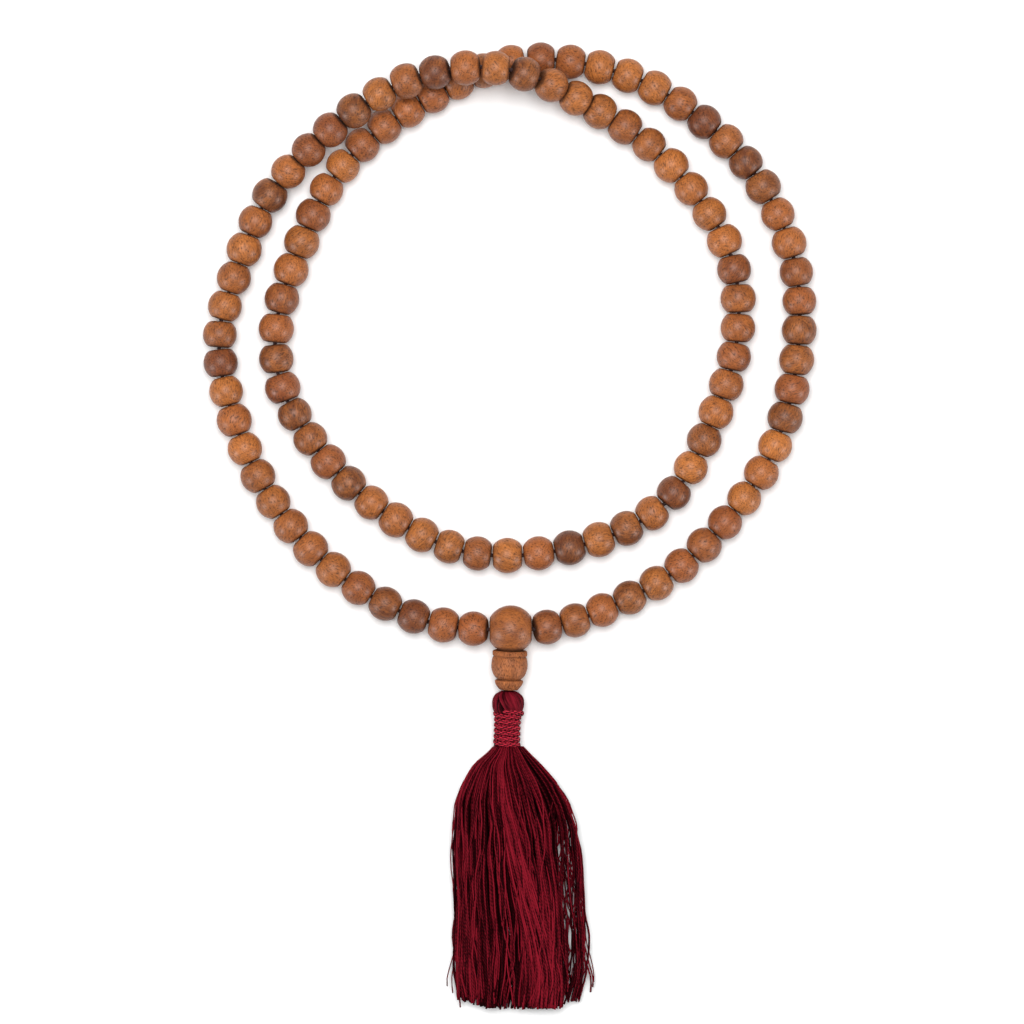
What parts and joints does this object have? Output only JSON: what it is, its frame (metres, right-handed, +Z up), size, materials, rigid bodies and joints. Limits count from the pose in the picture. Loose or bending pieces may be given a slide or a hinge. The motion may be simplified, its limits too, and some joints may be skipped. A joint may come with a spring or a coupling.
{
  "type": "prayer bead strand",
  "caption": "Long strand of small turned wooden beads laid in two loops, closed by a larger guru bead, a vase-shaped tower bead and a bound maroon thread tassel.",
  "frame": {"origin": "on the table, under the middle of the laid-out strand and tassel", "axes": "+Z up from the table; the guru bead and the tassel point along -Y from the double loop; +X to the right seen from above"},
  "size_m": [0.1434, 0.2253, 0.0169],
  "materials": {
    "bead_wood": "satin, fine grained, hand polished",
    "guru_wood": "satin, fine grained, hand polished",
    "tower_wood": "matt to satin, turned, with raw rim edges",
    "strand_cord": "braided cord, dark",
    "tassel_thread": "soft twisted rayon thread, low sheen",
    "binding_cord": "two-ply twisted cord, silky sheen"
  },
  "bodies": {
    "root": {"strand_cord": "strand_cord", "counting_beads": "bead_wood"},
    "guru": {"guru_bead": "guru_wood"},
    "cord_ends": {"pendant_cord": "strand_cord"},
    "tower": {"tower_bead": "tower_wood"},
    "knot": {"tassel_knot": "strand_cord"},
    "tassel": {"tassel_head": "tassel_thread", "neck_binding": "binding_cord", "tassel_skirt": "tassel_thread"},
    "turning_bead_001": {"bead_001": "bead_wood"},
    "turning_bead_003": {"bead_003": "bead_wood"},
    "turning_bead_005": {"bead_005": "bead_wood"},
    "turning_bead_007": {"bead_007": "bead_wood"},
    "turning_bead_009": {"bead_009": "bead_wood"},
    "turning_bead_011": {"bead_011": "bead_wood"},
    "turning_bead_013": {"bead_013": "bead_wood"},
    "turning_bead_015": {"bead_015": "bead_wood"},
    "turning_bead_017": {"bead_017": "bead_wood"},
    "turning_bead_019": {"bead_019": "bead_wood"},
    "turning_bead_021": {"bead_021": "bead_wood"},
    "turning_bead_023": {"bead_023": "bead_wood"},
    "turning_bead_025": {"bead_025": "bead_wood"},
    "turning_bead_031": {"bead_031": "bead_wood"},
    "turning_bead_033": {"bead_033": "bead_wood"},
    "turning_bead_035": {"bead_035": "bead_wood"},
    "turning_bead_037": {"bead_037": "bead_wood"},
    "turning_bead_039": {"bead_039": "bead_wood"},
    "turning_bead_041": {"bead_041": "bead_wood"},
    "turning_bead_043": {"bead_043": "bead_wood"},
    "turning_bead_045": {"bead_045": "bead_wood"},
    "turning_bead_047": {"bead_047": "bead_wood"},
    "turning_bead_049": {"bead_049": "bead_wood"},
    "turning_bead_051": {"bead_051": "bead_wood"},
    "turning_bead_053": {"bead_053": "bead_wood"},
    "turning_bead_055": {"bead_055": "bead_wood"},
    "turning_bead_057": {"bead_057": "bead_wood"},
    "turning_bead_059": {"bead_059": "bead_wood"},
    "turning_bead_061": {"bead_061": "bead_wood"},
    "turning_bead_063": {"bead_063": "bead_wood"},
    "turning_bead_065": {"bead_065": "bead_wood"},
    "turning_bead_067": {"bead_067": "bead_wood"},
    "turning_bead_069": {"bead_069": "bead_wood"},
    "turning_bead_071": {"bead_071": "bead_wood"},
    "turning_bead_073": {"bead_073": "bead_wood"},
    "turning_bead_075": {"bead_075": "bead_wood"},
    "turning_bead_077": {"bead_077": "bead_wood"},
    "turning_bead_081": {"bead_081": "bead_wood"},
    "turning_bead_083": {"bead_083": "bead_wood"},
    "turning_bead_085": {"bead_085": "bead_wood"},
    "turning_bead_087": {"bead_087": "bead_wood"},
    "turning_bead_089": {"bead_089": "bead_wood"},
    "turning_bead_091": {"bead_091": "bead_wood"},
    "turning_bead_093": {"bead_093": "bead_wood"},
    "turning_bead_095": {"bead_095": "bead_wood"},
    "turning_bead_097": {"bead_097": "bead_wood"},
    "turning_bead_099": {"bead_099": "bead_wood"},
    "turning_bead_101": {"bead_101": "bead_wood"},
    "turning_bead_103": {"bead_103": "bead_wood"},
    "turning_bead_105": {"bead_105": "bead_wood"},
    "turning_bead_107": {"bead_107": "bead_wood"}
  },
  "joints": [
    {"name": "guru_swing", "type": "hinge", "parent": "root", "child": "guru", "pos_m": [0, -0.0243, 0.0056], "axis": [-1, 0, 0], "range_deg": [0, 120]},
    {"name": "tassel_lift", "type": "hinge", "parent": "knot", "child": "tassel", "pos_m": [-0.0006, -0.04144, 0.00428], "axis": [-0.9994, 0.0349, 0], "range_deg": [0, 25]},
    {"name": "tassel_sway", "type": "hinge", "parent": "cord_ends", "child": "knot", "pos_m": [-0.0006, -0.04144, 0.00428], "axis": [-0.0027, -0.0767, 0.9971], "range_deg": [-25, 25]},
    {"name": "tassel_twist", "type": "hinge", "parent": "guru", "child": "cord_ends", "pos_m": [-0.0006, -0.04144, 0.00428], "axis": [-0.0348, -0.9964, -0.0767], "range_deg": [-180, 180]},
    {"name": "tower_turn", "type": "hinge", "parent": "guru", "child": "tower", "pos_m": [-0.00033, -0.03377, 0.00487], "axis": [-0.0348, -0.9964, -0.0767], "continuous": true},
    {"name": "turn_bead_001", "type": "hinge", "parent": "root", "child": "turning_bead_001", "pos_m": [-0.0087, -0.02414, 0.00506], "axis": [-0.9871, 0.046, -0.1533], "continuous": true},
    {"name": "turn_bead_003", "type": "hinge", "parent": "root", "child": "turning_bead_003", "pos_m": [-0.02264, -0.02131, 0.00412], "axis": [-0.9354, 0.3534, -0.0135], "continuous": true},
    {"name": "turn_bead_005", "type": "hinge", "parent": "root", "child": "turning_bead_005", "pos_m": [-0.03553, -0.01466, 0.0041], "axis": [-0.8368, 0.5474, 0.0137], "continuous": true},
    {"name": "turn_bead_007", "type": "hinge", "parent": "root", "child": "turning_bead_007", "pos_m": [-0.04669, -0.00551, 0.00416], "axis": [-0.6976, 0.7165, 0], "continuous": true},
    {"name": "turn_bead_009", "type": "hinge", "parent": "root", "child": "turning_bead_009", "pos_m": [-0.05543, 0.00546, 0.0041], "axis": [-0.5488, 0.8359, 0.0006], "continuous": true},
    {"name": "turn_bead_011", "type": "hinge", "parent": "root", "child": "turning_bead_011", "pos_m": [-0.06205, 0.01783, 0.00412], "axis": [-0.3882, 0.9216, 0.0058], "continuous": true},
    {"name": "turn_bead_013", "type": "hinge", "parent": "root", "child": "turning_bead_013", "pos_m": [-0.06644, 0.03125, 0.00409], "axis": [-0.2373, 0.9713, -0.0146], "continuous": true},
    {"name": "turn_bead_015", "type": "hinge", "parent": "root", "child": "turning_bead_015", "pos_m": [-0.0679, 0.04452, 0.00401], "axis": [0.0745, 0.9972, -0.0097], "continuous": true},
    {"name": "turn_bead_017", "type": "hinge", "parent": "root", "child": "turning_bead_017", "pos_m": [-0.0646, 0.05771, 0.00409], "axis": [0.3363, 0.9415, 0.0217], "continuous": true},
    {"name": "turn_bead_019", "type": "hinge", "parent": "root", "child": "turning_bead_019", "pos_m": [-0.0596, 0.07083, 0.00417], "axis": [0.4094, 0.9124, 0.0014], "continuous": true},
    {"name": "turn_bead_021", "type": "hinge", "parent": "root", "child": "turning_bead_021", "pos_m": [-0.05188, 0.08243, 0.00555], "axis": [0.6619, 0.7267, 0.184], "continuous": true},
    {"name": "turn_bead_023", "type": "hinge", "parent": "root", "child": "turning_bead_023", "pos_m": [-0.04199, 0.09198, 0.00814], "axis": [0.7471, 0.6422, 0.1719], "continuous": true},
    {"name": "turn_bead_025", "type": "hinge", "parent": "root", "child": "turning_bead_025", "pos_m": [-0.03053, 0.10017, 0.00998], "axis": [0.8667, 0.4919, 0.0821], "continuous": true},
    {"name": "turn_bead_031", "type": "hinge", "parent": "root", "child": "turning_bead_031", "pos_m": [0.00943, 0.10228, 0.00959], "axis": [0.8173, -0.3844, -0.4293], "continuous": true},
    {"name": "turn_bead_033", "type": "hinge", "parent": "root", "child": "turning_bead_033", "pos_m": [0.02083, 0.09644, 0.00532], "axis": [0.8544, -0.4663, -0.2294], "continuous": true},
    {"name": "turn_bead_035", "type": "hinge", "parent": "root", "child": "turning_bead_035", "pos_m": [0.03229, 0.08881, 0.00414], "axis": [0.7706, -0.6372, -0.0089], "continuous": true},
    {"name": "turn_bead_037", "type": "hinge", "parent": "root", "child": "turning_bead_037", "pos_m": [0.04214, 0.07849, 0.00405], "axis": [0.6186, -0.7855, -0.0157], "continuous": true},
    {"name": "turn_bead_039", "type": "hinge", "parent": "root", "child": "turning_bead_039", "pos_m": [0.04988, 0.06637, 0.00413], "axis": [0.4149, -0.9099, 0], "continuous": true},
    {"name": "turn_bead_041", "type": "hinge", "parent": "root", "child": "turning_bead_041", "pos_m": [0.05309, 0.05289, 0.00416], "axis": [0.0561, -0.9984, 0], "continuous": true},
    {"name": "turn_bead_043", "type": "hinge", "parent": "root", "child": "turning_bead_043", "pos_m": [0.05207, 0.03934, 0.0041], "axis": [-0.2046, -0.9788, 0.0075], "continuous": true},
    {"name": "turn_bead_045", "type": "hinge", "parent": "root", "child": "turning_bead_045", "pos_m": [0.0479, 0.02638, 0.00412], "axis": [-0.3765, -0.9264, -0.0028], "continuous": true},
    {"name": "turn_bead_047", "type": "hinge", "parent": "root", "child": "turning_bead_047", "pos_m": [0.04202, 0.01342, 0.00404], "axis": [-0.4757, -0.8796, -0.006], "continuous": true},
    {"name": "turn_bead_049", "type": "hinge", "parent": "root", "child": "turning_bead_049", "pos_m": [0.03299, 0.00279, 0.0041], "axis": [-0.807, -0.5906, 0.0025], "continuous": true},
    {"name": "turn_bead_051", "type": "hinge", "parent": "root", "child": "turning_bead_051", "pos_m": [0.02058, -0.00337, 0.00415], "axis": [-0.95, -0.3123, 0], "continuous": true},
    {"name": "turn_bead_053", "type": "hinge", "parent": "root", "child": "turning_bead_053", "pos_m": [0.00651, -0.00658, 0.00414], "axis": [-0.9911, -0.1325, 0.011], "continuous": true},
    {"name": "turn_bead_055", "type": "hinge", "parent": "root", "child": "turning_bead_055", "pos_m": [-0.00776, -0.00662, 0.0041], "axis": [-0.9888, 0.1472, -0.0232], "continuous": true},
    {"name": "turn_bead_057", "type": "hinge", "parent": "root", "child": "turning_bead_057", "pos_m": [-0.02071, -0.0023, 0.00411], "axis": [-0.8876, 0.4605, 0.0121], "continuous": true},
    {"name": "turn_bead_059", "type": "hinge", "parent": "root", "child": "turning_bead_059", "pos_m": [-0.03252, 0.00524, 0.00413], "axis": [-0.7923, 0.6101, -0.0079], "continuous": true},
    {"name": "turn_bead_061", "type": "hinge", "parent": "root", "child": "turning_bead_061", "pos_m": [-0.04258, 0.01479, 0.00417], "axis": [-0.652, 0.7583, 0], "continuous": true},
    {"name": "turn_bead_063", "type": "hinge", "parent": "root", "child": "turning_bead_063", "pos_m": [-0.05041, 0.02587, 0.00409], "axis": [-0.4902, 0.8712, 0.0275], "continuous": true},
    {"name": "turn_bead_065", "type": "hinge", "parent": "root", "child": "turning_bead_065", "pos_m": [-0.05471, 0.03886, 0.00417], "axis": [-0.1039, 0.9946, -0.0043], "continuous": true},
    {"name": "turn_bead_067", "type": "hinge", "parent": "root", "child": "turning_bead_067", "pos_m": [-0.05341, 0.05284, 0.00415], "axis": [0.2615, 0.9652, -0.0003], "continuous": true},
    {"name": "turn_bead_069", "type": "hinge", "parent": "root", "child": "turning_bead_069", "pos_m": [-0.04877, 0.0661, 0.00415], "axis": [0.3716, 0.9284, 0], "continuous": true},
    {"name": "turn_bead_071", "type": "hinge", "parent": "root", "child": "turning_bead_071", "pos_m": [-0.043, 0.07836, 0.00404], "axis": [0.51, 0.86, -0.0172], "continuous": true},
    {"name": "turn_bead_073", "type": "hinge", "parent": "root", "child": "turning_bead_073", "pos_m": [-0.03462, 0.08871, 0.00409], "axis": [0.7283, 0.6852, 0.0085], "continuous": true},
    {"name": "turn_bead_075", "type": "hinge", "parent": "root", "child": "turning_bead_075", "pos_m": [-0.02397, 0.09685, 0.00415], "axis": [0.8454, 0.5341, 0.0056], "continuous": true},
    {"name": "turn_bead_077", "type": "hinge", "parent": "root", "child": "turning_bead_077", "pos_m": [-0.01243, 0.10333, 0.00416], "axis": [0.8937, 0.4486, -0.0039], "continuous": true},
    {"name": "turn_bead_081", "type": "hinge", "parent": "root", "child": "turning_bead_081", "pos_m": [0.01396, 0.10818, 0.00403], "axis": [0.9899, -0.1417, 0.0046], "continuous": true},
    {"name": "turn_bead_083", "type": "hinge", "parent": "root", "child": "turning_bead_083", "pos_m": [0.02732, 0.10489, 0.00407], "axis": [0.9373, -0.3485, 0.0085], "continuous": true},
    {"name": "turn_bead_085", "type": "hinge", "parent": "root", "child": "turning_bead_085", "pos_m": [0.03959, 0.09837, 0.00406], "axis": [0.8205, -0.5715, -0.0106], "continuous": true},
    {"name": "turn_bead_087", "type": "hinge", "parent": "root", "child": "turning_bead_087", "pos_m": [0.05028, 0.08957, 0.00408], "axis": [0.7193, -0.6948, 0], "continuous": true},
    {"name": "turn_bead_089", "type": "hinge", "parent": "root", "child": "turning_bead_089", "pos_m": [0.05891, 0.07897, 0.00418], "axis": [0.5284, -0.849, 0], "continuous": true},
    {"name": "turn_bead_091", "type": "hinge", "parent": "root", "child": "turning_bead_091", "pos_m": [0.06498, 0.06588, 0.00409], "axis": [0.3067, -0.9518, 0], "continuous": true},
    {"name": "turn_bead_093", "type": "hinge", "parent": "root", "child": "turning_bead_093", "pos_m": [0.06738, 0.05233, 0.00406], "axis": [0.04, -0.9989, 0.0225], "continuous": true},
    {"name": "turn_bead_095", "type": "hinge", "parent": "root", "child": "turning_bead_095", "pos_m": [0.06674, 0.03861, 0.00414], "axis": [-0.1197, -0.9928, 0], "continuous": true},
    {"name": "turn_bead_097", "type": "hinge", "parent": "root", "child": "turning_bead_097", "pos_m": [0.06404, 0.0251, 0.00415], "axis": [-0.28, -0.96, 0], "continuous": true},
    {"name": "turn_bead_099", "type": "hinge", "parent": "root", "child": "turning_bead_099", "pos_m": [0.0585, 0.01222, 0.00413], "axis": [-0.5111, -0.8595, 0], "continuous": true},
    {"name": "turn_bead_101", "type": "hinge", "parent": "root", "child": "turning_bead_101", "pos_m": [0.05, 0.00063, 0.00408], "axis": [-0.6509, -0.759, 0.014], "continuous": true},
    {"name": "turn_bead_103", "type": "hinge", "parent": "root", "child": "turning_bead_103", "pos_m": [0.03988, -0.00947, 0.00413], "axis": [-0.7751, -0.6318, -0.0018], "continuous": true},
    {"name": "turn_bead_105", "type": "hinge", "parent": "root", "child": "turning_bead_105", "pos_m": [0.02775, -0.01692, 0.00407], "axis": [-0.9022, -0.4311, -0.0138], "continuous": true},
    {"name": "turn_bead_107", "type": "hinge", "parent": "root", "child": "turning_bead_107", "pos_m": [0.01499, -0.02221, 0.00414], "axis": [-0.9522, -0.3039, 0.0295], "continuous": true}
  ]
}
